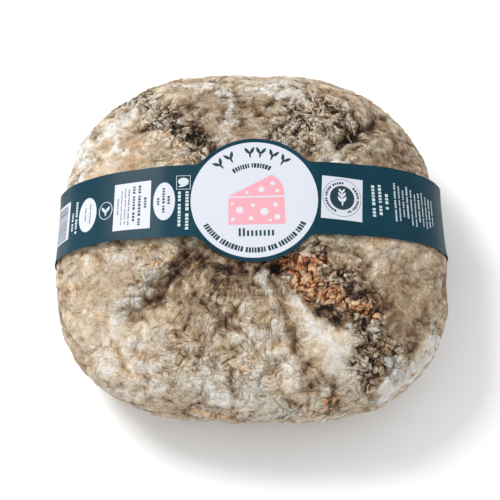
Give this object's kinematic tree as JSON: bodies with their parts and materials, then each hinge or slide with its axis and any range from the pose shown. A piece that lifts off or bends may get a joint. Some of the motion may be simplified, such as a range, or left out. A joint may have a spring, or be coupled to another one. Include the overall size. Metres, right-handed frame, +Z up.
{
  "type": "cheese wheel",
  "caption": "Small rounded-square cheese with a wrinkled natural rind, cloth folds gathered on top, and a printed paper band with a round medallion.",
  "frame": {"origin": "centre of the bounding box at the bottom: the plane the cheese stands on", "axes": "+Z up, +X to the right along the band, -Y the front, the side the medallion leans towards"},
  "size_m": [0.162, 0.1573, 0.0637],
  "materials": {
    "rind": null,
    "band_paper": "satin coated label paper, dark petrol, printed with white panels and a pale round medallion"
  },
  "bodies": {
    "root": {"cheese": "rind", "label_band": "band_paper"}
  },
  "joints": []
}
